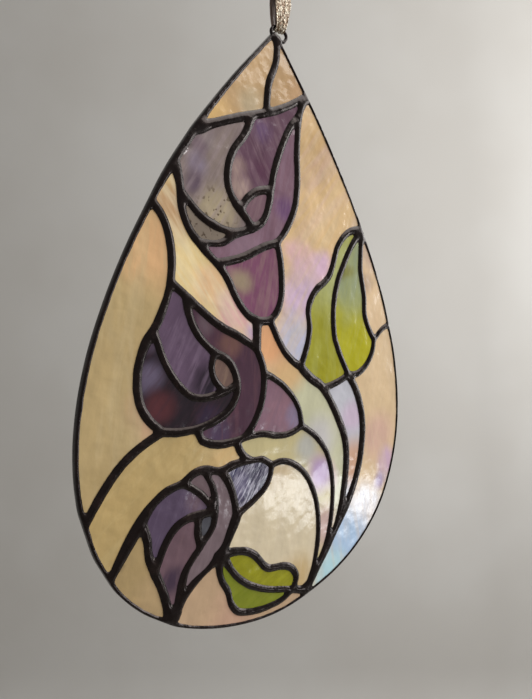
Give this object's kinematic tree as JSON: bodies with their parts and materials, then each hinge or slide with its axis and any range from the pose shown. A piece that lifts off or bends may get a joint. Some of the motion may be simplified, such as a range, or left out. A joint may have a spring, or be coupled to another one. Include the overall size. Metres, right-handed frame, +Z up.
{
  "type": "stained glass suncatcher",
  "caption": "Teardrop stained-glass suncatcher in copper foil and dark solder, with rosebuds, leaves and curving stems, hung by a ribbon from a wire loop.",
  "frame": {"origin": "the point inside the top of the ribbon's loop where a hook or peg bears", "axes": "+X to the right across the panel, +Y towards the back, +Z up; the front of the glass faces -Y"},
  "size_m": [0.21, 0.0088, 0.3445],
  "materials": {
    "solder": "glossy black-patinated solder, hand run, lumpy where lines meet",
    "amber_glass": "opalescent champagne glass, drifting to peach, pink and lavender",
    "pearl_glass": "opalescent pearl glass, ivory to lavender and pale blue-grey",
    "seedy_glass": "grey-lavender streaky glass turning to seedy clear beige",
    "mauve_glass": "streaky mauve and purple glass",
    "plum_glass": "dark violet and maroon streaky glass",
    "smoky_glass": "smoky beige glass",
    "slate_glass": "slate, blue-grey and mauve-grey streaky glass",
    "indigo_glass": "indigo glass with white streaks",
    "leaf_glass": "chartreuse to grey-green streaky glass",
    "wire": "tinned copper wire with a black patina",
    "ribbon": "woven champagne-gold ribbon with glittering metallic thread"
  },
  "bodies": {
    "root": {"solder": "solder", "sky_top_left": "amber_glass", "sky_top_right": "amber_glass", "sky_right_upper": "amber_glass", "sky_left_middle": "amber_glass", "sky_left": "amber_glass", "sky_left_band": "amber_glass", "sky_left_foot": "amber_glass", "sky_foot": "amber_glass", "sky_right": "amber_glass", "sky_right_small": "amber_glass", "sky_centre": "pearl_glass", "stem_band_long": "pearl_glass", "stem_band_middle": "pearl_glass", "stem_band_right": "pearl_glass", "upper_bud_left": "seedy_glass", "upper_bud_fold": "seedy_glass", "upper_bud_middle": "mauve_glass", "upper_bud_heart": "mauve_glass", "upper_bud_right": "mauve_glass", "upper_bud_sepal": "mauve_glass", "middle_bud_sepal": "mauve_glass", "middle_bud_left": "plum_glass", "middle_bud_centre": "plum_glass", "middle_bud_right": "plum_glass", "middle_bud_heart": "smoky_glass", "lower_bud_left": "slate_glass", "lower_bud_centre": "slate_glass", "lower_bud_right": "slate_glass", "lower_bud_top": "slate_glass", "lower_bud_heart": "slate_glass", "lower_bud_sepal": "indigo_glass", "large_leaf_left": "leaf_glass", "large_leaf_right": "leaf_glass", "small_leaf_upper": "leaf_glass", "small_leaf_lower": "leaf_glass", "wire_loop": "wire", "ribbon_front": "ribbon", "ribbon_back": "ribbon", "ribbon_knot": "ribbon", "ribbon_hook_loop": "ribbon"}
  },
  "joints": []
}
